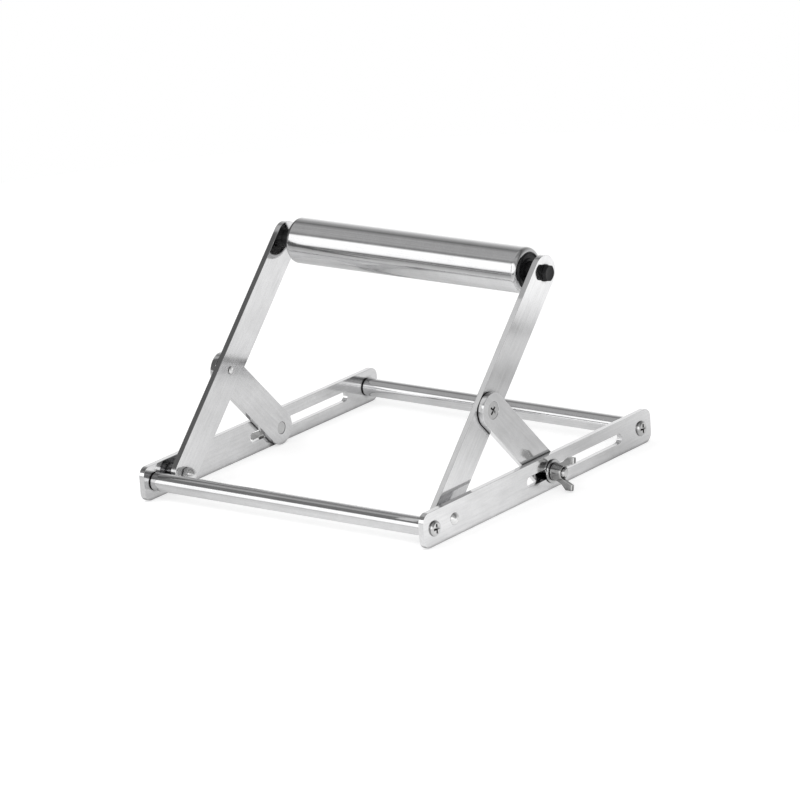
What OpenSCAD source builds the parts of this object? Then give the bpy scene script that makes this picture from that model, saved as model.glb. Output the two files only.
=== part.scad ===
// Folding material support stand: two slotted base bars joined by round rods, a pair of uprights that
// carry a free-running roller, and two braces whose lower ends slide along the slots and are clamped there.
// X runs along the roller, Y from the front rod to the rear rod and Z up from the surface it stands on.

/* [Flat bars] */
// Width over the outer faces of the two base bars
base_w = 300; // [260:1:400]
// Length of each base bar
base_len = 330; // [280:1:400]
// Width of the flat bar used for the base bars, uprights and braces
bar_w = 30; // [26:0.5:34]
// Thickness of that flat bar
bar_t = 5; // [4.5:0.5:8]
// Corner radius at the ends of the base bars
corner_r = 8; // [2:0.5:12]
// Gap left on each side of a brace
side_gap = 0.5; // [0.3:0.1:1]

/* [Cross rods] */
// Diameter of the front and rear rods
rod_d = 16; // [13:0.5:20]
// From the end of a base bar to the rod's axis
rod_inset = 15; // [12:0.5:18]
// Chamfer at the ends of the rods and the axle
rod_chamfer = 1; // [0.5:0.1:1.5]

/* [Linkage] */
// Lower pivot to brace screw, and brace screw to clamp stud
link = 101; // [90:1:120]
// Lower pivot to the roller's axis
upright_reach = 232; // [200:1:280]
// Slope of the uprights as photographed
rest_angle = 46; // [20:0.5:57]
// Between the uprights' lower ends and the front rod
toe_gap = 5; // [0.5:0.5:10]
// From the lower pivot to the front end of a slot
slot_from_pivot = 103; // [90:1:120]
// From the rear end of a slot to the rear rod's axis
slot_to_rear = 29; // [18:1:60]
// Play of a clamp stud across its slot
slot_play = 1; // [0.5:0.1:4]
// How much the round lower ends of the uprights and braces fall short of half a bar's width
toe_cut = 0.5; // [0.4:0.1:3]

/* [Roller] */
// Outside diameter of the roller tube
roller_d = 40; // [36:0.5:50]
// Wall of the roller tube
roller_wall = 1.5; // [1:0.25:2.5]
// Outside radius of the rolled-over tube ends
roller_end_r = 4; // [3:0.5:5]
// Between a roller end and the upright beside it
roller_end_gap = 12; // [5:0.5:20]
// How far an end cap stands out of the tube
cap_proud = 1.5; // [0.5:0.25:3]
// Depth of an end cap inside the tube
cap_len = 18; // [16:0.5:30]
// Wall between the bearing and the cap's outer face
cap_face = 5; // [3:0.5:6]
// Depth of the ring-shaped dish in a cap's face
cap_dish = 1; // [0.5:0.25:1.5]
// Diameter of the fixed axle
axle_d = 12; // [11:0.5:13]

/* [Ball bearings] */
// Outside diameter of a bearing
bearing_od = 28; // [26:0.5:30]
// Width of a bearing
bearing_w = 8; // [7:0.5:10]
// Diameter of a ball
ball_d = 4.8; // [4:0.1:5]
// Balls in a bearing
ball_n = 8; // [6:1:9]
// Thickness of the ball cage
cage_t = 1.8; // [1.2:0.1:2]
// Rim of the cage beside a ball
cage_rim = 0.7; // [0.4:0.1:0.9]

/* [Screws] */
// Thread diameter of the screws, clamp studs and axle bolts
screw_d = 8; // [7:0.5:9]
// Diameter of a countersunk head
head_d = 15; // [13:0.5:16]
// Straight edge of a countersunk head
head_land = 0.4; // [0.2:0.1:0.5]
// How far a countersunk head sits below the face round it
head_sink = 0.3; // [0.1:0.1:0.5]
// Diameter of a rod screw's round head
pan_d = 13; // [12:0.5:16]
// Height of that head
pan_h = 2.6; // [2.2:0.1:4]
// Rounding of its shoulder
pan_round = 2.2; // [1:0.1:2.2]
// How far a rod screw reaches into its rod
rod_screw_reach = 18; // [8:1:40]
// Span of the cross recess
recess_span = 8.5; // [6:0.5:10]
// Width of one arm of the cross recess
recess_arm = 2; // [1:0.1:2.4]
// Depth of the cross recess
recess_depth = 3.25; // [1:0.25:3.5]

/* [Lower pivots] */
// Diameter of a pivot bolt
pivot_d = 6; // [5:0.5:7]
// Diameter of its domed head
pivot_head_d = 10.5; // [9:0.5:14]
// Height of that head
pivot_head_h = 3.3; // [2:0.1:4]
// Outside diameter of a pivot spacer
spacer_d = 14; // [11:0.5:20]
// Across flats of a cap nut
cap_nut_af = 10; // [9.5:0.5:13]
// Height of its hexagon
cap_nut_hex_h = 5; // [4:0.5:5.5]
// Overall height of a cap nut
cap_nut_h = 10; // [9.5:0.5:12]
// Wall over the end of a cap nut's bore
cap_nut_crown = 2; // [1.5:0.25:3]

/* [Axle bolts] */
// Across flats of an axle bolt's head
hex_af = 13; // [12:0.5:14]
// Height of an axle bolt's head
hex_h = 4; // [3:0.1:5]
// How far an axle bolt reaches into the axle
axle_bolt_reach = 14; // [8:1:30]
// Outside diameter of a lock washer
lock_d = 14.6; // [13:0.2:16]
// Thickness of a lock washer
lock_t = 1.2; // [1:0.1:1.6]
// Width of the split in a lock washer
lock_split = 1.4; // [0.8:0.1:2.5]
// Outside diameter of the sleeve between a bearing and its upright
sleeve_d = 16; // [15:0.5:17]

/* [Clamps] */
// Diameter of a clamp stud's riveted end
stud_head_d = 11; // [9.5:0.5:14]
// Outside diameter of a clamp washer
washer_d = 20; // [16:0.5:26]
// Thickness of a clamp washer
washer_t = 1.6; // [1:0.1:3]
// Diameter of a wing nut's hub at the washer
hub_d = 16; // [14:0.5:18]
// Diameter of the hub at its outer end
hub_top_d = 12.5; // [11:0.5:14]
// Height of the hub
hub_h = 10; // [8:0.5:12]
// Least height of a turning wing over the surface that the stand rests on
wing_clear = 0.4; // [0.3:0.1:2]
// Height of the wings above the washer
wing_h = 20; // [17:0.5:24]
// Width of a wing at its tip
wing_w = 7; // [5:0.5:8]
// Thickness of a wing
wing_t = 2.5; // [2:0.25:4]
// Lean of the wings away from upright
wing_lean = 13; // [0:1:90]
// How far a clamp stud stands out of its wing nut
stud_proud = 2; // [1:0.5:8]

/* [Hidden] */
$fn = 64;

// Running clearance round a pin, and the slack of a screw in its hole
run_clear = 0.05;
// Gap between faces of pieces that slide or turn on each other
face_gap = 0.3;
// Overrun of a cut past the surface it opens
over = 1;

// Half widths, from the outside inwards
bar_out = base_w / 2;
bar_in = bar_out - bar_t;
brace_out = bar_in - side_gap;
brace_in = brace_out - bar_t;
upright_out = brace_in - side_gap;
upright_in = upright_out - bar_t;
roller_half = upright_in - roller_end_gap;

// Places along the base
front_rod_y = rod_inset - base_len / 2;
rear_rod_y = base_len / 2 - rod_inset;
rod_z = bar_w / 2;
pivot_y = front_rod_y + rod_d / 2 + bar_w / 2 + toe_gap;
slot_w = screw_d + slot_play;
slot_front_y = pivot_y + slot_from_pivot;
slot_rear_y = rear_rod_y - slot_to_rear;
clamp_y = pivot_y + 2 * link * cos(rest_angle);

// Screw, bearing and cap sizes that follow from the ones above
screw_r = screw_d / 2;
roller_r = roller_d / 2;
bore_r = roller_r - roller_wall;
mouth_r = roller_r - roller_end_r;
bearing_x = roller_half + cap_proud - cap_face - bearing_w / 2;
pitch_r = (axle_d + bearing_od) / 4;
ring_share = 0.35;
ring_t = ring_share * (bearing_od - axle_d) / 2;
washer_x = bar_out + face_gap;
nut_x = washer_x + washer_t;
stud_end = nut_x + hub_h + stud_proud;
stud_chamfer_share = 0.15;
tip_round_share = 0.7;
wing_reach = sqrt(pow(bar_w / 2 - wing_clear, 2) - pow(wing_t / 2, 2));

// Shared shapes

// Round bar along X
module bar_x(x0, x1, r) {
    translate([x0, 0, 0])
        rotate([0, 90, 0])
            cylinder(h = x1 - x0, r = r);
}

// Plate drawn in Y and Z, from x0 towards +X
module plate(x0, t) {
    translate([x0, 0, 0])
        rotate([90, 0, 90])
            linear_extrude(t)
                children();
}

// Both sides of a mirrored pair
module both_sides() {
    children();
    mirror([1, 0, 0]) children();
}

// Outline with two full-round ends, whose centres lie at 0 and at span
module round_end_outline(span, w) {
    translate([0, -w / 2]) square([span, w]);
    for (u = [0, span])
        translate([u, 0]) circle(r = w / 2);
}

// Outline of a base bar, centred
module base_outline() {
    flat_len = base_len - 2 * corner_r;
    flat_w = bar_w - 2 * corner_r;
    square([flat_len, bar_w], center = true);
    square([base_len, flat_w], center = true);
    for (u = [-1, 1], v = [-1, 1])
        translate([u * flat_len / 2, v * flat_w / 2])
            circle(r = corner_r);
}

// Countersunk screw along +X, sunk below a face at x = 0
module countersunk(length, d) {
    head_r = d / 2;
    rotate([0, 90, 0]) {
        translate([0, 0, head_sink]) cylinder(h = head_land, r = head_r);
        translate([0, 0, head_sink + head_land]) cylinder(h = head_r - screw_r, r1 = head_r, r2 = screw_r);
        translate([0, 0, head_sink]) cylinder(h = length - head_sink, r = screw_r);
    }
}

// Hole for that screw through a bar
module countersunk_hole(d) {
    hole_r = d / 2 + run_clear;
    straight = head_sink + head_land + run_clear;
    rotate([0, 90, 0]) {
        translate([0, 0, -over]) cylinder(h = over + straight, r = hole_r);
        translate([0, 0, straight]) cylinder(h = d / 2 - screw_r, r1 = hole_r, r2 = screw_r + run_clear);
        cylinder(h = bar_t + over, r = screw_r + run_clear);
    }
}

// Cross recess cut into the face of that screw's head
module cross_recess() {
    translate([head_sink, 0, 0])
        intersection() {
            union() {
                for (turn = [0, 90])
                    rotate([turn, 0, 0])
                        translate([-over, -recess_arm / 2, -recess_span / 2])
                            cube([over + recess_depth, recess_arm, recess_span]);
            }
            rotate([0, 90, 0])
                translate([0, 0, -over])
                    cylinder(h = over + recess_depth, r1 = recess_span / 2 + over, r2 = recess_arm / 2);
        }
}

// Round-headed screw along +X, its head standing on a face at x = 0
module pan_screw(length) {
    flat_r = pan_d / 2 - pan_round;
    rotate([0, 90, 0]) {
        rotate_extrude()
            intersection() {
                union() {
                    translate([0, -pan_h]) square([flat_r, pan_h]);
                    translate([0, pan_round - pan_h]) square([pan_d / 2, pan_h]);
                    translate([flat_r, pan_round - pan_h]) circle(r = pan_round);
                }
                translate([0, -pan_h]) square([pan_d, pan_h]);
            }
        translate([0, 0, -pan_h / 2]) cylinder(h = length + pan_h / 2, r = screw_r);
    }
}

// Hexagon along X with its flats up and down
module hex_x(x0, x1, af) {
    plate(x0, x1 - x0)
        circle(r = af / 2 / cos(180 / 6), $fn = 6);
}

// Frame of the uprights: origin at the lower pivot, +Y along the upright
module on_upright() {
    translate([0, pivot_y, rod_z])
        rotate([rest_angle, 0, 0])
            children();
}

// Frame of the braces: origin at the brace screw, +Y towards the clamp stud
module on_brace() {
    on_upright()
        translate([0, link, 0])
            rotate([-2 * rest_angle, 0, 0])
                children();
}

module on_axle() {
    on_upright()
        translate([0, upright_reach, 0])
            children();
}

// Base

module base_bar() {
    color("gainsboro")
        difference() {
            plate(bar_in, bar_t)
                translate([0, rod_z]) base_outline();
            for (y = [front_rod_y, rear_rod_y])
                translate([0, y, rod_z])
                    bar_x(bar_in - over, bar_out + over, screw_r + run_clear);
            translate([0, pivot_y, rod_z])
                bar_x(bar_in - over, bar_out + over, pivot_d / 2 + run_clear);
            plate(bar_in - over, bar_t + 2 * over)
                translate([slot_front_y + slot_w / 2, rod_z])
                    round_end_outline(slot_rear_y - slot_front_y - slot_w, slot_w);
        }
}

module base_bar_right() {
    base_bar();
}

module base_bar_left() {
    mirror([1, 0, 0]) base_bar();
}

// Round rod from x = -half to half with chamfered ends, each tapped to the given depth
module tapped_rod(half, r, depth) {
    difference() {
        rotate([0, 90, 0])
            rotate_extrude()
                polygon([
                    [0, -half], [r - rod_chamfer, -half], [r, rod_chamfer - half],
                    [r, half - rod_chamfer], [r - rod_chamfer, half], [0, half]
                ]);
        both_sides()
            bar_x(half - depth, half + over, screw_r + run_clear);
    }
}

module cross_rod(y) {
    color("gainsboro")
        translate([0, y, rod_z])
            tapped_rod(bar_in, rod_d / 2, rod_screw_reach + over);
}

module front_rod() {
    cross_rod(front_rod_y);
}

module rear_rod() {
    cross_rod(rear_rod_y);
}

module rod_screws() {
    color("silver")
        both_sides()
            for (y = [front_rod_y, rear_rod_y])
                translate([bar_out, y, rod_z])
                    mirror([1, 0, 0])
                        difference() {
                            pan_screw(bar_t + rod_screw_reach);
                            translate([-pan_h - head_sink, 0, 0]) cross_recess();
                        }
}

// Lower pivots, which stay with the base

module pivot_bolts() {
    ball_r = (pow(pivot_head_d / 2, 2) + pow(pivot_head_h, 2)) / (2 * pivot_head_h);
    nut_bore = cap_nut_h - cap_nut_crown;
    color("silver")
        both_sides()
            translate([0, pivot_y, rod_z]) {
                bar_x(upright_in - nut_bore, bar_out + pivot_head_h / 2, pivot_d / 2);
                translate([bar_out, 0, 0])
                    rotate([0, 90, 0])
                        rotate_extrude()
                            intersection() {
                                translate([0, pivot_head_h - ball_r]) circle(r = ball_r, $fn = 96);
                                square([pivot_head_d, pivot_head_h]);
                            }
            }
}

module pivot_spacers() {
    color("silver")
        both_sides()
            translate([0, pivot_y, rod_z])
                difference() {
                    bar_x(upright_out + face_gap, bar_in, spacer_d / 2);
                    bar_x(upright_out - over, bar_in + over, pivot_d / 2 + run_clear);
                }
}

module pivot_cap_nuts() {
    seat = upright_in - face_gap;
    dome_r = cap_nut_af / 2;
    color("silver")
        both_sides()
            translate([0, pivot_y, rod_z])
                difference() {
                    union() {
                        hex_x(seat - cap_nut_hex_h, seat, cap_nut_af);
                        translate([seat, 0, 0])
                            rotate([0, -90, 0])
                                rotate_extrude() {
                                    square([dome_r, cap_nut_h - dome_r]);
                                    intersection() {
                                        translate([0, cap_nut_h - dome_r]) circle(r = dome_r);
                                        square([dome_r, cap_nut_h]);
                                    }
                                }
                    }
                    bar_x(seat - cap_nut_h + cap_nut_crown, seat + over, pivot_d / 2 + run_clear);
                }
}

// Uprights

module upright() {
    color("gainsboro")
        on_upright()
            difference() {
                plate(upright_in, bar_t)
                    translate([toe_cut, 0])
                        round_end_outline(upright_reach - toe_cut, bar_w);
                bar_x(upright_in - over, upright_out + over, pivot_d / 2 + run_clear);
                for (y = [link, upright_reach])
                    translate([0, y, 0])
                        bar_x(upright_in - over, upright_out + over, screw_r + run_clear);
            }
}

module upright_right() {
    upright();
}

module upright_left() {
    mirror([1, 0, 0]) upright();
}

module brace_screws() {
    color("silver")
        both_sides()
            on_upright()
                translate([brace_out, link, 0])
                    mirror([1, 0, 0])
                        difference() {
                            countersunk(brace_out - upright_in, head_d);
                            cross_recess();
                        }
}

// Fixed axle and what holds it

module axle() {
    color("silver")
        on_axle()
            tapped_rod(upright_in, axle_d / 2, axle_bolt_reach + over);
}

module axle_bolts() {
    color([0.09, 0.09, 0.1])
        both_sides()
            on_axle()
                union() {
                    hex_x(upright_out + lock_t, upright_out + lock_t + hex_h, hex_af);
                    bar_x(upright_in - axle_bolt_reach, upright_out + lock_t + over, screw_r);
                }
}

module axle_lock_washers() {
    color([0.12, 0.12, 0.13])
        both_sides()
            on_axle()
                difference() {
                    bar_x(upright_out, upright_out + lock_t, lock_d / 2);
                    bar_x(upright_out - over, upright_out + lock_t + over, screw_r + run_clear);
                    translate([upright_out - over, -lock_d, -lock_split / 2])
                        cube([lock_t + 2 * over, lock_d, lock_split]);
                }
}

module axle_sleeves() {
    color([0.06, 0.06, 0.065])
        both_sides()
            on_axle()
                difference() {
                    bar_x(bearing_x + bearing_w / 2, upright_in, sleeve_d / 2);
                    bar_x(bearing_x, upright_in + over, axle_d / 2 + run_clear);
                }
}

// Half section of a ring with a ball groove, r0 to r1
module ring_section(r0, r1) {
    difference() {
        translate([r0, -bearing_w / 2]) square([r1 - r0, bearing_w]);
        translate([pitch_r, 0]) circle(d = ball_d + 2 * run_clear);
    }
}

module bearing_ring(r0, r1) {
    both_sides()
        on_axle()
            translate([bearing_x, 0, 0])
                rotate([0, 90, 0])
                    rotate_extrude()
                        ring_section(r0, r1);
}

module bearing_inner_rings() {
    color("silver")
        bearing_ring(axle_d / 2 + run_clear, axle_d / 2 + ring_t);
}

module bearing_outer_rings() {
    color("silver")
        bearing_ring(bearing_od / 2 - ring_t, bearing_od / 2);
}

// Repeats a shape at each ball of a bearing
module at_balls() {
    on_axle()
        for (i = [0 : ball_n - 1])
            rotate([i * 360 / ball_n, 0, 0])
                translate([bearing_x, pitch_r, 0])
                    children();
}

module bearing_balls() {
    color("silver")
        at_balls()
            sphere(d = ball_d);
}

module bearing_balls_right() {
    bearing_balls();
}

module bearing_balls_left() {
    mirror([1, 0, 0]) bearing_balls();
}

module bearing_cage() {
    cage_half = ball_d / 2 + cage_rim;
    color([0.55, 0.42, 0.2])
        difference() {
            on_axle()
                difference() {
                    bar_x(bearing_x - cage_half, bearing_x + cage_half, pitch_r + cage_t / 2);
                    bar_x(bearing_x - cage_half - over, bearing_x + cage_half + over, pitch_r - cage_t / 2);
                }
            at_balls()
                rotate([90, 0, 0])
                    cylinder(h = cage_t + 2 * over, d = ball_d + 2 * run_clear, center = true);
        }
}

module bearing_cage_right() {
    bearing_cage();
}

module bearing_cage_left() {
    mirror([1, 0, 0]) bearing_cage();
}

// Roller

// Half section of a drum with rounded rims: radius, half length and rim radius
module drum_section(r, half, rim) {
    translate([0, -half]) square([r - rim, 2 * half]);
    translate([0, rim - half]) square([r, 2 * (half - rim)]);
    for (v = [-1, 1])
        translate([r - rim, v * (half - rim)])
            circle(r = rim);
}

module roller_tube() {
    color("whitesmoke")
        on_axle()
            rotate([0, 90, 0])
                rotate_extrude(convexity = 4)
                    difference() {
                        drum_section(roller_r, roller_half, roller_end_r);
                        drum_section(bore_r, roller_half - roller_wall, roller_end_r - roller_wall);
                        translate([0, -roller_half - over])
                            square([mouth_r, 2 * (roller_half + over)]);
                    }
}

// Bearing housing that the tube's end is rolled over
module end_cap() {
    body_r = bore_r - run_clear;
    body_half = roller_half - roller_wall - run_clear;
    rim = roller_end_r - roller_wall;
    face_x = roller_half + cap_proud;
    nose_r = mouth_r - run_clear;
    nose_round = min(cap_proud, nose_r - bearing_od / 2);
    dish_in = sleeve_d / 2 + cap_face / 2;
    dish_out = nose_r - cap_proud;
    color([0.06, 0.06, 0.065])
        on_axle()
            rotate([0, 90, 0])
                rotate_extrude(convexity = 6)
                    difference() {
                        union() {
                            intersection() {
                                drum_section(body_r, body_half, rim);
                                translate([0, roller_half - cap_len]) square([body_r, cap_len]);
                            }
                            translate([0, face_x - 2 * nose_round]) square([nose_r - nose_round, 2 * nose_round]);
                            translate([0, body_half - rim]) square([nose_r, face_x - nose_round - body_half + rim]);
                            translate([nose_r - nose_round, face_x - nose_round]) circle(r = nose_round);
                        }
                        translate([0, roller_half - cap_len - over])
                            square([bearing_od / 2, bearing_x + bearing_w / 2 - roller_half + cap_len + over]);
                        translate([0, roller_half - cap_len - over])
                            square([sleeve_d / 2 + face_gap, cap_len + cap_proud + 2 * over]);
                        translate([dish_in, face_x - cap_dish])
                            square([dish_out - dish_in, cap_dish + over]);
                    }
}

module end_cap_right() {
    end_cap();
}

module end_cap_left() {
    mirror([1, 0, 0]) end_cap();
}

// Braces and clamps

module brace() {
    color("gainsboro")
        on_brace()
            difference() {
                plate(brace_in, bar_t)
                    round_end_outline(link - toe_cut, bar_w);
                translate([brace_out, 0, 0])
                    mirror([1, 0, 0])
                        countersunk_hole(head_d);
                translate([brace_in, link, 0])
                    countersunk_hole(stud_head_d);
            }
}

module brace_right() {
    brace();
}

module brace_left() {
    mirror([1, 0, 0]) brace();
}

module clamp_stud() {
    length = stud_end - brace_in;
    tip = stud_chamfer_share * screw_d;
    color("silver")
        translate([brace_in, clamp_y, rod_z]) {
            countersunk(length - tip, stud_head_d);
            translate([length - tip, 0, 0])
                rotate([0, 90, 0])
                    cylinder(h = tip, r1 = screw_r, r2 = screw_r - tip);
        }
}

module clamp_stud_right() {
    clamp_stud();
}

module clamp_stud_left() {
    mirror([1, 0, 0]) clamp_stud();
}

module clamp_washer() {
    color("silver")
        translate([0, clamp_y, rod_z])
            difference() {
                bar_x(washer_x, washer_x + washer_t, washer_d / 2);
                bar_x(washer_x - over, washer_x + washer_t + over, screw_r + run_clear);
            }
}

module clamp_washer_right() {
    clamp_washer();
}

module clamp_washer_left() {
    mirror([1, 0, 0]) clamp_washer();
}

// Outline of one wing: u runs out from the stud, v along it away from the washer
module wing_outline() {
    tip_r = wing_w / 2 * tip_round_share;
    root_r = wing_w / 2;
    hull() {
        translate([hub_top_d / 2 - wing_t, hub_h - root_r]) circle(r = root_r, $fn = 32);
        translate([wing_reach - tip_r, wing_h - wing_w + tip_r]) circle(r = tip_r, $fn = 32);
        translate([wing_reach - tip_r, wing_h - tip_r]) circle(r = tip_r, $fn = 32);
    }
}

module wing_nut() {
    color("silver")
        translate([nut_x, clamp_y, rod_z])
            rotate([-wing_lean, 0, 0])
                difference() {
                    union() {
                        rotate([0, 90, 0])
                            cylinder(h = hub_h, r1 = hub_d / 2, r2 = hub_top_d / 2);
                        for (turn = [0, 180])
                            rotate([turn, 0, 0])
                                rotate([90, -90, 0])
                                    mirror([0, 1, 0])
                                        translate([0, 0, -wing_t / 2])
                                            linear_extrude(wing_t)
                                                wing_outline();
                    }
                    bar_x(-over, hub_h + wing_h, screw_r + run_clear);
                }
}

module wing_nut_right() {
    wing_nut();
}

module wing_nut_left() {
    mirror([1, 0, 0]) wing_nut();
}

base_bar_left();
base_bar_right();
front_rod();
rear_rod();
rod_screws();
pivot_bolts();
pivot_spacers();
pivot_cap_nuts();
upright_left();
upright_right();
brace_screws();
axle();
axle_bolts();
axle_lock_washers();
axle_sleeves();
bearing_inner_rings();
roller_tube();
end_cap_left();
end_cap_right();
bearing_outer_rings();
bearing_balls_left();
bearing_balls_right();
bearing_cage_left();
bearing_cage_right();
brace_left();
brace_right();
clamp_stud_left();
clamp_stud_right();
clamp_washer_left();
clamp_washer_right();
wing_nut_left();
wing_nut_right();
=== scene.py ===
import math

import bmesh
import bpy
from mathutils import Matrix, Vector


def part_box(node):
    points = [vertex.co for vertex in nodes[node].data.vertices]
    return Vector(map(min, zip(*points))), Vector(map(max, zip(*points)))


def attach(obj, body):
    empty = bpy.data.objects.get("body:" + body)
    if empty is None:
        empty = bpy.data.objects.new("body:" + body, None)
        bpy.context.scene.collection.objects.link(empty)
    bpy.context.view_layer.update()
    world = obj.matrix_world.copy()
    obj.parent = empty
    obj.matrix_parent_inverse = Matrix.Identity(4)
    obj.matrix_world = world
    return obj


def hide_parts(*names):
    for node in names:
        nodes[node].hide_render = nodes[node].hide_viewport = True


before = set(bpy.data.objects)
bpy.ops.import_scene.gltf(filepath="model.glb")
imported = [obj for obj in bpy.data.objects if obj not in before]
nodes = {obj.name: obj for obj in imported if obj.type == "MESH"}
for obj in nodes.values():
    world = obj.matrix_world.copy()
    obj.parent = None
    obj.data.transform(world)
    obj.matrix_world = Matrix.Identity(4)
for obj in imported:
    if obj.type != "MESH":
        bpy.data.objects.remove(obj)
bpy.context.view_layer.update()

MM = 0.001
TURN = 2 * math.pi
WHITE = (1, 1, 1, 1)
# Angle of the uprights and the braces over the surface at rest
REST = math.radians(46)


# Camera: direction, roll, distance and focal length found from points of the photograph
AZ, EL, ROLL = (math.radians(a) for a in (37.79, 16.80, -3.90))
TARGET = Vector((7.05, 0.0, 64.42)) * MM
DISTANCE = 4.8662
LENS = 257.04
SENSOR = 36
NEAR, FAR = 0.1, 50

back = Vector((math.sin(AZ) * math.cos(EL), -math.cos(AZ) * math.cos(EL), math.sin(EL)))
right = Vector((math.cos(AZ), math.sin(AZ), 0.0))
up = back.cross(right)
cam_x = right * math.cos(ROLL) + up * math.sin(ROLL)
cam_y = up * math.cos(ROLL) - right * math.sin(ROLL)
camera = bpy.data.objects.new("camera", bpy.data.cameras.new("camera"))
bpy.context.scene.collection.objects.link(camera)
camera.matrix_world = Matrix((
    (cam_x.x, cam_y.x, back.x, 0),
    (cam_x.y, cam_y.y, back.y, 0),
    (cam_x.z, cam_y.z, back.z, 0),
    (0, 0, 0, 1)))
camera.location = TARGET + back * DISTANCE
camera.data.lens = LENS
camera.data.sensor_width = SENSOR
camera.data.clip_start = NEAR
camera.data.clip_end = FAR
bpy.context.scene.camera = camera
bpy.context.scene.view_settings.view_transform = "Standard"


def new_object(name, data):
    o = bpy.data.objects.new(name, data)
    bpy.context.scene.collection.objects.link(o)
    return o


# Relief that every finish shares: rounding of edges in the shading, and depth of the bumps
EDGE_RADIUS = 0.3 * MM
BUMP_DEPTH = 0.2 * MM


# Short names for building a node tree
class Tree:
    def __init__(self, tree):
        self.tree = tree
        tree.nodes.clear()

    def add(self, kind, inputs=None, **props):
        n = self.tree.nodes.new(kind)
        for k, v in props.items():
            setattr(n, k, v)
        for k, v in (inputs or {}).items():
            if isinstance(v, bpy.types.NodeSocket):
                self.tree.links.new(v, n.inputs[k])
            else:
                n.inputs[k].default_value = v
        return n

    def math(self, op, a, b=0.0, c=0.0):
        return self.add("ShaderNodeMath", {0: a, 1: b, 2: c}, operation=op).outputs[0]

    def ramp(self, fac, stops):
        """Grey or colour at each place from 0 to 1, straight between the stops."""
        n = self.add("ShaderNodeValToRGB", {0: fac})
        el = n.color_ramp.elements
        while len(el) > 1:
            el.remove(el[-1])
        for i, (pos, v) in enumerate(stops):
            e = el[0] if i == 0 else el.new(pos)
            e.position = pos
            e.color = (*v, 1) if hasattr(v, "__len__") else (v, v, v, 1)
        return n.outputs[0]

    def noise(self, vector, scale, detail, rough):
        return self.add("ShaderNodeTexNoise", {"Vector": vector, "Scale": scale, "Detail": detail,
                                               "Roughness": rough}).outputs[0]

    def stretched(self, turn_x, stretch):
        """Object coordinates turned about X, then scaled along the three axes."""
        coord = self.add("ShaderNodeTexCoord").outputs["Object"]
        turned = self.add("ShaderNodeVectorRotate", {"Vector": coord, "Angle": turn_x},
                          rotation_type="X_AXIS").outputs[0]
        return self.add("ShaderNodeMapping", {"Vector": turned, "Scale": stretch}).outputs[0]

    def tinted(self, colour, factor):
        return self.add("ShaderNodeVectorMath", {0: colour, 1: factor},
                        operation="MULTIPLY").outputs[0]

    def relief(self, strength, height, samples):
        rounded = self.add("ShaderNodeBevel", {"Radius": EDGE_RADIUS}, samples=samples).outputs[0]
        return self.add("ShaderNodeBump", {"Strength": strength, "Distance": BUMP_DEPTH,
                                           "Height": height, "Normal": rounded}).outputs[0]

    def diffuse(self, colour):
        return self.add("ShaderNodeBsdfDiffuse", {"Color": colour}).outputs[0]

    def emission(self, strength):
        return self.add("ShaderNodeEmission", {"Color": WHITE, "Strength": strength}).outputs[0]

    def both(self, a, b):
        return self.add("ShaderNodeAddShader", {0: a, 1: b}).outputs[0]

    def mix(self, fac, a, b):
        return self.add("ShaderNodeMixShader", {0: fac, 1: a, 2: b}).outputs[0]

    def finish(self, shader, kind="ShaderNodeOutputMaterial"):
        self.tree.links.new(shader, self.add(kind).inputs[0])


def new_material(name):
    m = bpy.data.materials.new(name)
    m.use_nodes = True
    return m, Tree(m.node_tree)


PLAIN = (1, 1, 1)

# Noises of the metals, as scale, detail and roughness, and their shares in the tone
FINE, CLOUD, SPOTS = (60.0, 3.0, 0.6), (55.0, 4.0, 0.6), (900.0, 2.0, 0.5)
FINE_SHARE, CLOUD_SHARE, SPOT_SHARE = 0.4, 0.35, 0.25
# How far the tone goes down and up, and the values of the noise where it gets there
TONE_LOW, TONE_HIGH = (0.2, 0.8), (0.8, 1.2)
# Values of Pointiness on dull flats and on rubbed corners, and the tone of those corners
DULL_AT, RUBBED_AT, RUBBED = 0.505, 0.545, 1.3
# Painted shade in gaps and recesses: how unevenly it lies, and its tone from hidden to open
# places
SHADE_UNEVEN, SHADE_SHIFT = 0.15, 0.08
PAINTED_SHADE = [(0.25, 0.03), (0.5, 0.35), (0.75, 1.0)]
FINE_BUMP, SPOT_BUMP = 0.7, 0.3
STEEL_SAMPLES = 6
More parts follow.
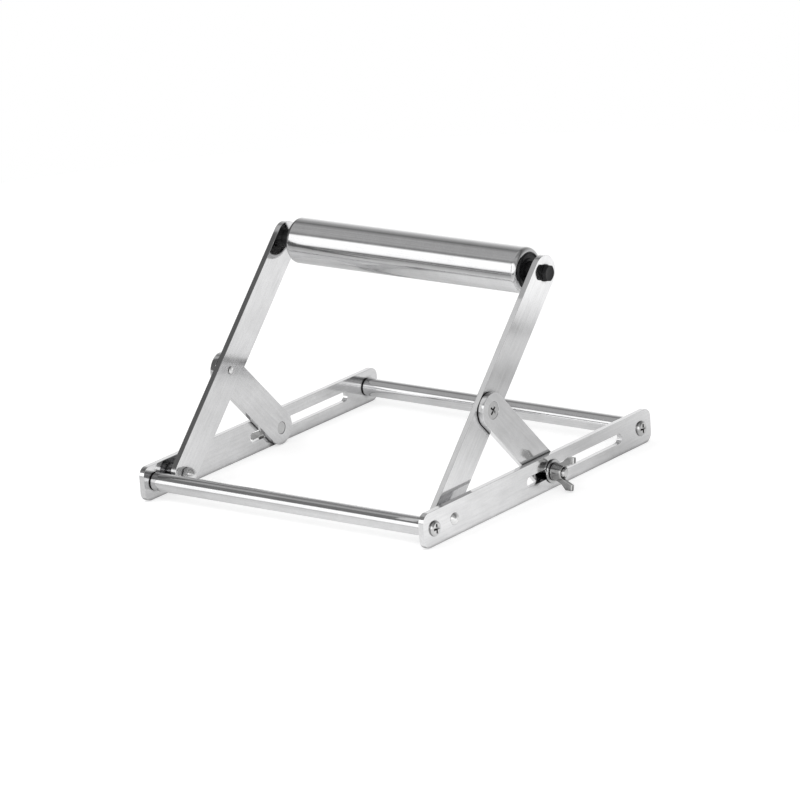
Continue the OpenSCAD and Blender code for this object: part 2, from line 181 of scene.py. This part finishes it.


# Polished steel: faint grain along the stock, fine spots, smears in the gloss, and painted shade
# in gaps, whose reach is an argument. Worn is the tone of dull flats under bright rubbed corners.
def steel(name, tone, rough, grain, bump, turn=0.0, smear=0.03, shade_reach=3.5 * MM, worn=None):
    m, t = new_material(name)
    along = t.stretched(turn, grain)
    plain = t.stretched(turn, PLAIN)
    fine = t.noise(along, *FINE)
    cloud = t.noise(plain, *CLOUD)
    spots = t.noise(plain, *SPOTS)
    value = t.math("MULTIPLY_ADD", spots, SPOT_SHARE, t.math("MULTIPLY", cloud, CLOUD_SHARE))
    value = t.math("MULTIPLY_ADD", fine, FINE_SHARE, value)
    colour = t.ramp(value, [(at, [min(1, c * level) for c in tone])
                            for at, level in (TONE_LOW, TONE_HIGH)])
    if worn:
        corner = t.add("ShaderNodeNewGeometry").outputs["Pointiness"]
        colour = t.tinted(colour, t.ramp(corner, [(DULL_AT, worn), (RUBBED_AT, RUBBED)]))
    # painted shade where two pieces nearly touch, which keeps gaps and recesses from shining
    occlusion = t.add("ShaderNodeAmbientOcclusion", {"Distance": shade_reach}, samples=STEEL_SAMPLES,
                   inside=False).outputs["AO"]
    shifted = t.math("SUBTRACT", occlusion, SHADE_SHIFT)
    colour = t.tinted(colour, t.ramp(t.math("MULTIPLY_ADD", cloud, SHADE_UNEVEN, shifted), PAINTED_SHADE))
    roughness = t.math("ADD", t.math("MULTIPLY_ADD", cloud, smear * 2, rough - smear),
                       t.math("MULTIPLY_ADD", fine, smear, -smear / 2))
    height = t.math("ADD", t.math("MULTIPLY", fine, FINE_BUMP),
                    t.math("MULTIPLY", spots, SPOT_BUMP))
    t.finish(t.add("ShaderNodeBsdfPrincipled", {
        "Base Color": colour, "Metallic": 1.0, "Roughness": roughness,
        "Normal": t.relief(bump, height, STEEL_SAMPLES)}).outputs[0])
    return m


# Noises of the black finishes, as detail and roughness, or as scale, detail and roughness
BLACK_GRAIN, BLACK_CLOUD = (3.0, 0.6), (90.0, 3.0, 0.5)
BLACK_LOW, BLACK_HIGH = (0.25, 0.6), (0.75, 1.6)
BLACK_SMEAR, BLACK_GRIT = 0.14, 0.04
BLACK_SAMPLES = 4


# Black finishes: moulded plastic and black oxide
def black(name, tone, rough, metallic, bump, scale, specular):
    m, t = new_material(name)
    plain = t.stretched(0.0, PLAIN)
    grain = t.noise(plain, scale, *BLACK_GRAIN)
    cloud = t.noise(plain, *BLACK_CLOUD)
    value = t.math("MULTIPLY_ADD", grain, 0.5, t.math("MULTIPLY", cloud, 0.5))
    colour = t.ramp(value, [(at, [c * level for c in tone])
                            for at, level in (BLACK_LOW, BLACK_HIGH)])
    smears = t.math("MULTIPLY_ADD", cloud, BLACK_SMEAR, rough - BLACK_SMEAR / 2)
    roughness = t.math("ADD", smears, t.math("MULTIPLY", grain, BLACK_GRIT))
    t.finish(t.add("ShaderNodeBsdfPrincipled", {
        "Base Color": colour, "Metallic": metallic, "Roughness": roughness,
        "Normal": t.relief(bump, grain, BLACK_SAMPLES),
        "Specular IOR Level": specular}).outputs[0])
    return m


# each steel below gets painted shade in its gaps, reaching as far as given
flat = {"grain": (8, 0.5, 8), "bump": 0.01, "smear": 0.04}
flat_y = steel("polished_flat_base", (0.76, 0.76, 0.765), 0.12, shade_reach=5 * MM, **flat)
flat_up = steel("polished_flat_upright", (0.73, 0.73, 0.735), 0.10, turn=-REST, shade_reach=7 * MM,
                **flat)
flat_brace = steel("polished_flat_brace", (0.75, 0.75, 0.755), 0.11, turn=REST, shade_reach=6 * MM,
                   **flat)
round_x = steel("polished_rod", (0.67, 0.67, 0.675), 0.12, (0.12, 12, 12), 0.008, smear=0.05)
tube_x = steel("ground_roller_tube", (0.66, 0.66, 0.665), 0.12, (0.1, 14, 14), 0.02, smear=0.06)
hardware = steel("bright_fasteners", (0.62, 0.62, 0.62), 0.16, (4, 4, 4), 0.05, smear=0.06)
# painted light: the domed heads get a lighter copy of the fastener steel, with less painted shade
domes = steel("painted_light_domes", (0.84, 0.84, 0.84), 0.27, (4, 4, 4), 0.04, shade_reach=2.5 * MM)
cast = steel("bright_wing_nuts", (0.60, 0.60, 0.595), 0.15, (3, 3, 3), 0.08, smear=0.06,
             shade_reach=7 * MM, worn=0.42)
bearing = steel("ground_bearing_steel", (0.6, 0.6, 0.61), 0.14, (5, 1, 1), 0.03)
pressed = steel("pressed_cage", (0.5, 0.47, 0.42), 0.28, (4, 4, 4), 0.05)
plastic = black("moulded_black_plastic", (0.010, 0.010, 0.011), 0.36, 0.0, 0.12, 1500.0, 0.28)
oxide = black("black_oxide_steel", (0.012, 0.012, 0.013), 0.38, 0.3, 0.18, 900.0, 0.35)


def pair(name):
    return [name + "_left", name + "_right"]


dress = {
    flat_y: pair("base_bar"),
    flat_up: pair("upright"),
    flat_brace: pair("brace"),
    round_x: ["front_rod", "rear_rod", "axle", "pivot_spacers"],
    tube_x: ["roller_tube"],
    domes: ["pivot_bolts", "pivot_cap_nuts"],
    hardware: ["rod_screws", "brace_screws"] + pair("clamp_stud") + pair("clamp_washer"),
    cast: pair("wing_nut"),
    bearing: ["bearing_inner_rings", "bearing_outer_rings"] + pair("bearing_balls"),
    pressed: pair("bearing_cage"),
    plastic: pair("end_cap") + ["axle_sleeves"],
    oxide: ["axle_bolts", "axle_lock_washers"],
}
for material, names in dress.items():
    for name in names:
        data = nodes[name].data
        if not data.materials:
            data.materials.append(material)
        for i in range(len(data.materials)):
            data.materials[i] = material


# Broken edges: facets within FLAT_WITHIN are one face, and edges over SHARP_OVER are bevelled
WELD_WITHIN = 0.002 * MM
FLAT_WITHIN, SHARP_OVER = math.radians(0.6), math.radians(40)
BEVEL_STEPS = 2
EVEN_WEIGHT = 50


# Softly broken edges on the CAD pieces: coplanar facets are joined first, so that only true
# edges are bevelled
def break_edges(name, width):
    o = nodes[name]
    weld = o.modifiers.new("weld", "WELD")
    weld.merge_threshold = WELD_WITHIN
    joined = o.modifiers.new("flat", "DECIMATE")
    joined.decimate_type = "DISSOLVE"
    joined.angle_limit = FLAT_WITHIN
    bevel = o.modifiers.new("bevel", "BEVEL")
    bevel.limit_method = "ANGLE"
    bevel.angle_limit = SHARP_OVER
    bevel.width = width
    bevel.segments = BEVEL_STEPS
    o.data.shade_smooth()
    # the largest face at each corner sets its normal, so that flats stay flat in reflections
    weighted = o.modifiers.new("weighted", "WEIGHTED_NORMAL")
    weighted.mode = "FACE_AREA"
    weighted.weight = EVEN_WEIGHT
    weighted.keep_sharp = False


for name in pair("base_bar") + pair("upright") + pair("brace"):
    break_edges(name, 0.3 * MM)
for name in pair("clamp_washer") + ["axle_lock_washers"]:
    break_edges(name, 0.2 * MM)


def piece(name, verts, faces, body, material, stands_for):
    mesh = bpy.data.meshes.new(name)
    mesh.from_pydata(verts, [], faces)
    mesh.update()
    bm = bmesh.new()
    bm.from_mesh(mesh)
    bmesh.ops.recalc_face_normals(bm, faces=bm.faces)
    bm.to_mesh(mesh)
    bm.free()
    for p in mesh.polygons:
        p.use_smooth = True
    mesh.materials.append(material)
    o = new_object(name, mesh)
    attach(o, body)
    if stands_for:
        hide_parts(stands_for)
    return o


def middle(low, high):
    """Centre of a box in Y and Z."""
    return (low.y + high.y) / 2, (low.z + high.z) / 2


def span(low, high, sign):
    """Inner and outer end of a box along X, as distances from the middle of the stand."""
    return (low.x, high.x) if sign > 0 else (-high.x, -low.x)


def at_angle(v, a):
    return v(a) if callable(v) else v


# Surface through rings along X. A ring is its place along X and its radius, each a number or a
# function of the angle. The ends are capped, or joined to each other where it is looped.
def rings_along_x(rings, segments, centre, sign, first=0, start=0.0, looped=False):
    verts, faces = [], []
    for along, radius in rings:
        for i in range(segments):
            a = TURN * i / segments + start
            r = at_angle(radius, a)
            verts.append((sign * at_angle(along, a), centre[0] + r * math.cos(a),
                          centre[1] + r * math.sin(a)))
    count = len(rings)
    for k in range(count if looped else count - 1):
        here, there = k * segments, (k + 1) % count * segments
        for i in range(segments):
            j = (i + 1) % segments
            faces.append((here + i, here + j, there + j, there + i))
    if not looped:
        last = (count - 1) * segments
        faces.append(tuple(range(segments)))
        faces.append(tuple(range(last, last + segments)))
    return verts, [tuple(first + i for i in face) for face in faces]


# Pieces made here stay this far inside the CAD surface
SKIN = 0.02 * MM

# Clamp stud: M8 thread, the land of its riveted end, and the slope of its tip
CORE, PITCH, THREAD_DEPTH = 4 * MM, 1.25 * MM, 0.52 * MM
CREST_GAIN, THREAD_STEPS, STUD_SEGMENTS = 1.25, 9, 48
LAND, DISH_RIM, PLAIN_SHANK, THREAD_START = 0.4 * MM, 0.08 * MM, 1.0 * MM, 1.1 * MM
TIP, TIP_SLOPE, TIP_END, TIP_STEP = 1.2 * MM, 0.8, 0.01 * MM, 0.1 * MM
# Dish of the riveted end: depth in mm at a share of the head's radius
DISH = ((0.25, 0.12), (0.22, 0.45), (0.04, 0.80), (0.0, 0.93))


# Clamp studs with a rolled M8 thread and a riveted, slightly dished inner end
def clamp_stud(side, sign):
    low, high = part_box("clamp_stud_" + side)
    x0, x1 = span(low, high, sign)
    head_r = (high.z - low.z) / 2
    cone_end = x0 + LAND + head_r - CORE
    rings = [(x0 + depth * MM, head_r * share) for depth, share in DISH]
    rings += [(x0 + DISH_RIM, head_r - SKIN), (x0 + LAND, head_r - SKIN),
              (cone_end, CORE - SKIN), (cone_end + PLAIN_SHANK, CORE - SKIN)]
    x = cone_end + THREAD_START
    while x < x1 - SKIN:
        def radius(a, x=x):
            phase = (x / PITCH - sign * a / TURN) % 1.0
            crest = 1 - abs(2 * phase - 1)
            r = CORE - SKIN - THREAD_DEPTH * (1 - min(1, crest * CREST_GAIN))
            return min(r, CORE - max(0.0, x - (x1 - TIP)) * TIP_SLOPE)
        rings.append((x, radius))
        x += PITCH / THREAD_STEPS
    rings.append((x1 - TIP_END, CORE - TIP * TIP_SLOPE - TIP_STEP))
    verts, faces = rings_along_x(rings, STUD_SEGMENTS, middle(low, high), sign)
    piece("stud_threaded_" + side, verts, faces, side + "_brace", hardware,
          "clamp_stud_" + side)


clamp_stud("left", -1)
clamp_stud("right", 1)


# Riveted tip of a brace screw, in mm: place along X from the upright's inner face, and radius
SCREW_TIP = ((0.3, 2.1), (-0.25, 2.1), (-0.35, 3.1), (-0.65, 2.9), (-1.05, 2.1), (-1.3, 1.0))
SCREW_SEGMENTS = 32


# Riveted tips of the brace screws on the uprights' inner faces, each in a narrow ring of shade
def screw_tips():
    low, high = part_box("brace_screws")
    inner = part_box("upright_right")[0].x
    rings = [(inner + along * MM, radius * MM) for along, radius in SCREW_TIP]
    verts, faces = [], []
    for sign in (1, -1):
        v, f = rings_along_x(rings, SCREW_SEGMENTS, middle(low, high), sign, first=len(verts))
        verts += v
        faces += f
    piece("brace_screw_tips", verts, faces, "mast", domes, None)


screw_tips()


# Wing nut, in mm: height of the hub, radius of the bore, and the wings' root and reach
HUB, BORE, ROOT, REACH = 10, 4.15, 4.8, 14.35
HUB_RINGS = ((0.3, BORE), (0.05, 6.6), (0.4, 7.8), (2, 7.6), (HUB - 0.8, 6.3), (HUB, 5.8),
             (HUB - 0.5, BORE))
HALF_THICK, THINNER = 2.1, 0.3
LEAN = math.radians(13)
NUT_SEGMENTS = 48
MELT_VOXEL, MELT_FACTOR, MELT_STEPS, KEPT_FACES = 0.3 * MM, 0.5, 3, 0.3


# Wing nuts: a turned hub with two thick squared wings; corners melted by remeshing, as on a
# casting
def wing_nut(side, sign):
    low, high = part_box("wing_nut_" + side)
    x0, x1 = span(low, high, sign)
    top = (x1 - x0) / MM
    centre = middle(*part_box("clamp_washer_" + side))
    rings = [(x0 + height * MM, radius * MM) for height, radius in HUB_RINGS]
    verts, faces = rings_along_x(rings, NUT_SEGMENTS, centre, sign, looped=True)
    # outline of one wing: distance from the axis, height over the washer
    outline = [(ROOT, 2.2), (7.0, 3.0), (9.8, 9.0), (REACH, 13.8), (REACH, top - 0.6),
               (REACH - 0.8, top - 0.1), (REACH - 5.2, top - 0.1), (ROOT, 9.6)]
    n = len(outline)
    for turn in (LEAN, LEAN + math.pi):
        out = Vector((0.0, math.sin(turn), math.cos(turn)))
        across = Vector((0.0, math.cos(turn), -math.sin(turn)))
        base = len(verts)
        for half in (-1, 1):
            for u, v in outline:
                thick = HALF_THICK - THINNER * (u - ROOT) / (REACH - ROOT)
                q = out * (u * MM) + across * half * (thick * MM)
                verts.append((sign * (x0 + v * MM), centre[0] + q.y, centre[1] + q.z))
        faces.append(tuple(base + i for i in range(n)))
        faces.append(tuple(base + n + i for i in range(n)))
        faces += [(base + i, base + (i + 1) % n, base + n + (i + 1) % n, base + n + i)
                  for i in range(n)]
    o = piece("wing_nut_cast_" + side, verts, faces, side + "_wing_nut", cast,
              "wing_nut_" + side)
    voxel = o.modifiers.new("voxel", "REMESH")
    voxel.mode = "VOXEL"
    voxel.voxel_size = MELT_VOXEL
    voxel.use_smooth_shade = True
    smooth = o.modifiers.new("smooth", "SMOOTH")
    smooth.factor = MELT_FACTOR
    smooth.iterations = MELT_STEPS
    fewer = o.modifiers.new("fewer", "DECIMATE")
    fewer.ratio = KEPT_FACES


wing_nut("left", -1)
wing_nut("right", 1)


# Axle bolt: half the head's width, and the share of it that the chamfer leaves
APOTHEM = 6.5 * MM
TURNED = APOTHEM * 0.96
HEX_SKIN = 0.03 * MM
CHAMFER = math.radians(30)
BOLT_LENGTH, SHANK_R, SHANK_END_R, SHANK_CHAMFER = 24.2 * MM, 3.98 * MM, 3.4 * MM, 0.6 * MM
# Washer face: foot, height and radius
FACE_LOW, FACE_HIGH, FACE_R = 0.1 * MM, 0.4 * MM, 6.1 * MM
DISH_DEPTH, DISH_BOTTOM_R = 0.2 * MM, 0.8 * MM
BOLT_SEGMENTS = 72
SHARP_AT = math.radians(25)


# Axle bolts: hexagon heads with the turned 30 degree chamfer, a shallow dish and a small
# washer face
def axle_bolts():
    low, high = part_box("axle_bolts")
    seat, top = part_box("axle_lock_washers")[1].x, high.x
    shank = top - BOLT_LENGTH

    def hexagon(a):
        b = (a - REST) % (math.pi / 3) - math.pi / 6
        return (APOTHEM - HEX_SKIN) / math.cos(b)

    def side_top(a):
        return top - max(0.0, hexagon(a) - TURNED) * math.tan(CHAMFER)

    rings = [
        (shank, SHANK_END_R), (shank + SHANK_CHAMFER, SHANK_R), (seat + FACE_LOW, SHANK_R),
        (seat + FACE_LOW, FACE_R), (seat + FACE_HIGH, FACE_R), (seat + FACE_HIGH, hexagon),
        (lambda a: side_top(a) - 0.2 * MM, hexagon),
        (side_top, lambda a: hexagon(a) - 0.12 * MM),
        (top - 0.03 * MM, TURNED), (top, TURNED - 0.3 * MM),
        (top - DISH_DEPTH, TURNED - 1.1 * MM), (top - DISH_DEPTH, DISH_BOTTOM_R)]
    verts, faces = [], []
    for sign in (1, -1):
        v, f = rings_along_x(rings, BOLT_SEGMENTS, middle(low, high), sign, first=len(verts),
                             start=REST)
        verts += v
        faces += f
    o = piece("axle_bolts_turned", verts, faces, "mast", oxide, "axle_bolts")
    o.data.set_sharp_from_angle(angle=SHARP_AT)


axle_bolts()


FLOOR_RADIUS, FLOOR_DROP, FLOOR_SEGMENTS = 1.15, 0.2 * MM, 96
# To the camera: a grey that takes the shadow, and the glow that lifts it to white
SHADE, GLOW = (0.50, 0.50, 0.50, 1), 0.68
# To other surfaces, which are lit by it
TABLE = (0.86, 0.86, 0.86, 1)
COVER = 1.1
# Ramps start at 0, so places on the floor are moved by this
HALF = 0.5
# Painted glow in reflections: how pale the floor looks in a mirror, from front to back
DEPTH = [(0.0, 0.34), (0.14, 0.37), (0.24, 0.44), (0.32, 0.50), (0.385, 0.56), (0.44, 0.54),
         (0.50, 0.51), (0.56, 0.46), (0.66, 0.48), (0.85, 0.51), (1.0, 0.53)]
# Painted shade, a darker patch behind and to the right: where along Y, where across, and how much
GATE = [(0.55, 0.0), (0.62, 0.4), (0.74, 0.45), (0.77, 0.65), (0.80, 0.45), (0.83, 0.25),
        (0.875, 0.3), (0.90, 1.0), (0.925, 0.25), (0.98, 0.0)]
SHADE_PATCH = [(0.45, 0.0), (0.50, 0.6), (0.56, 1.0), (0.64, 1.0), (0.72, 0.3), (0.80, 0.0)]
SHADE_PATCH_SHARE = 0.32
# Painted glow, less to the left, and more in the far right corner
LEFT = [(0.20, 0.72), (0.36, 0.80), (0.39, 0.86), (0.42, 0.88), (0.47, 0.95), (0.52, 1.0)]
CORNER = [(0.88, 0.0), (1.0, 0.24)]


# Floor: white to the camera with the object's soft shadow; in reflections painted glow and shade
def make_floor():
    mesh = bpy.data.meshes.new("floor")
    bm = bmesh.new()
    bmesh.ops.create_circle(bm, cap_ends=True, segments=FLOOR_SEGMENTS, radius=FLOOR_RADIUS,
                            matrix=Matrix.Translation((0, 0, -FLOOR_DROP)))
    bm.to_mesh(mesh)
    bm.free()
    floor = new_object("floor", mesh)
    m, t = new_material("floor")
    path = t.add("ShaderNodeLightPath")
    place = t.add("ShaderNodeTexCoord").outputs["Object"]
    x, y = t.add("ShaderNodeSeparateXYZ", {0: place}).outputs[:2]
    # painted glow and shade for reflections: paler and darker by place, darkest behind and to the
    # right
    depth = t.ramp(t.math("ADD", y, HALF), DEPTH)
    gate = t.ramp(t.math("ADD", y, HALF), GATE)
    shade_across = t.ramp(t.math("ADD", t.math("SUBTRACT", x, y), HALF), SHADE_PATCH)
    left = t.ramp(t.math("ADD", x, HALF), LEFT)
    shade_amount = t.math("MULTIPLY", t.math("MULTIPLY", gate, shade_across), SHADE_PATCH_SHARE)
    depth = t.math("MULTIPLY", t.math("SUBTRACT", depth, shade_amount), left)
    painted_glow = t.math("ADD", depth, t.ramp(t.math("ADD", x, y), CORNER))
    mirrored = t.both(t.diffuse(t.math("MULTIPLY", depth, COVER)), t.emission(painted_glow))
    unseen = t.mix(path.outputs["Is Glossy Ray"], t.diffuse(TABLE), mirrored)
    shown = t.both(t.diffuse(SHADE), t.emission(GLOW))
    t.finish(t.mix(path.outputs["Is Camera Ray"], unseen, shown))
    mesh.materials.append(m)


make_floor()


# What metal mirrors of the studio: brightness at each angle about X, from -Y upwards
BANDS = [(-180, 1.25), (-150, 1.2), (-120, 0.9), (-60, 0.9), (-20, 1.0), (-14, 0.9),
         (-12, 0.16), (-6.5, 0.16), (-3.5, 1.0), (2, 1.5), (37, 1.6), (41, 0.95), (45, 0.30),
         (51, 0.34), (56, 0.50), (98, 0.48), (108, 0.33), (117, 0.2), (124, 0.35), (140, 0.55),
         (155, 0.85), (172, 1.2), (180, 1.25)]
# A ramp holds up to 1, so the bands go in halved and come out doubled
BAND_GAIN = 2.0
# The studio's left and right ends, and the side behind the camera
ENDS = [(0.0, 0.2), (0.14, 0.35), (0.18, 1.0), (0.40, 1.0), (0.52, 0.6), (1.0, 0.5)]
BEHIND_CAMERA = [(0.55, 1.0), (0.72, 1.7)]
PLAIN_SKY, CAMERA_SKY = 0.62, 1.0


# Surroundings: white to the camera, plain to pale surfaces, and a studio with bright and dark
# bands to metal
def make_world():
    world = bpy.data.worlds.new("studio")
    bpy.context.scene.world = world
    world.use_nodes = True
    t = Tree(world.node_tree)
    path = t.add("ShaderNodeLightPath")
    direction = t.add("ShaderNodeTexCoord").outputs["Generated"]
    x, y, z = t.add("ShaderNodeSeparateXYZ", {0: direction}).outputs[:3]
    # 0 to 1 for -180 to 180 degrees
    angle = t.math("ARCTAN2", z, t.math("MULTIPLY", y, -1.0))
    turn = t.math("MULTIPLY_ADD", angle, 1 / TURN, 0.5)
    strength = t.ramp(turn, [((deg + 180) / 360, v / BAND_GAIN) for deg, v in BANDS])
    ends = t.ramp(t.math("MULTIPLY_ADD", x, 0.5, 0.5), ENDS)
    facing = t.add("ShaderNodeVectorMath", {0: direction, 1: tuple(back)},
                   operation="DOT_PRODUCT").outputs["Value"]
    in_front = t.ramp(facing, BEHIND_CAMERA)
    glossy = t.math("MULTIPLY", t.math("MULTIPLY", strength, BAND_GAIN),
                    t.math("MULTIPLY", ends, in_front))
    clear = t.math("MAXIMUM", path.outputs["Is Camera Ray"], path.outputs["Is Transmission Ray"])
    level = t.add("ShaderNodeMix", {0: path.outputs["Is Glossy Ray"], 2: PLAIN_SKY,
                                    3: glossy}).outputs[0]
    level = t.add("ShaderNodeMix", {0: clear, 2: level, 3: CAMERA_SKY}).outputs[0]
    sky = t.add("ShaderNodeBackground", {"Color": WHITE, "Strength": level}).outputs[0]
    t.finish(sky, "ShaderNodeOutputWorld")


make_world()


# Card that only reflections show
def make_card(name, corners, level):
    mesh = bpy.data.meshes.new(name)
    mesh.from_pydata(corners, [], [(0, 1, 2, 3)])
    card = new_object(name, mesh)
    for ray in ("camera", "diffuse", "shadow", "transmission", "volume_scatter"):
        setattr(card, "visible_" + ray, False)
    m, t = new_material(name)
    t.finish(t.emission(level))
    mesh.materials.append(m)


# Foot of the uprights' front edges, the way along them, and the way they mirror the camera's
# view
FOOT_X, FOOT_Y, FOOT_Z = 0.1365, -0.1328, 0.0254
ALONG = Vector((0.0, math.cos(REST), math.sin(REST)))
MIRRORED = Vector((-0.587, -0.315, 0.746))


# Strip over an upright's front edge: distance from it, and the strip's extent in X and along
# the upright
def edge_strip(name, sign, away, x_ends, u_ends, level):
    start = Vector((sign * FOOT_X, FOOT_Y, FOOT_Z)) + MIRRORED * away
    (x0, x1), (u0, u1) = x_ends, u_ends
    corners = [start + Vector((x, 0, 0)) + ALONG * u
               for x, u in ((x0, u0), (x1, u0), (x1, u1), (x0, u1))]
    make_card(name, corners, level)


# a dark strip that only the left upright's front edge is meant to mirror, and a pale one for
# the right upright's
edge_strip("dark_strip", -1, 0.075, (-0.018, 0.013), (-0.03, 0.232), 0.13)
edge_strip("pale_strip", 1, 0.06, (-0.010, 0.010), (-0.03, 0.20), 0.75)


# a dim strip over the front rod, which the rod's upper half mirrors
ROD_Y, ROD_Z, ROD_AWAY = -0.150, 0.015, 0.12
STRIP_LEFT, STRIP_RIGHT, DIM_LEVEL = Vector((-0.32, 0, 0)), Vector((0.12, 0, 0)), 0.23
lower, upper = (Vector((0.0, ROD_Y - ROD_AWAY * math.cos(a), ROD_Z + ROD_AWAY * math.sin(a)))
                for a in map(math.radians, (38, 78)))
make_card("dim_strip", [lower + STRIP_LEFT, lower + STRIP_RIGHT,
                        upper + STRIP_RIGHT, upper + STRIP_LEFT], DIM_LEVEL)


LIGHT_AIM = (0, 0, 0.05)


def area(name, place, size, power):
    data = bpy.data.lights.new(name, "AREA")
    data.shape = "DISK"
    data.size = size
    data.energy = power
    lamp = new_object(name, data)
    lamp.location = place
    lamp.rotation_mode = "QUATERNION"
    lamp.rotation_quaternion = (Vector(place) - Vector(LIGHT_AIM)).to_track_quat("Z", "Y")
    lamp.visible_glossy = False


area("key", (-0.9, -1.1, 1.9), 1.2, 14.0)
area("fill", (1.5, -0.6, 1.5), 1.4, 5.0)
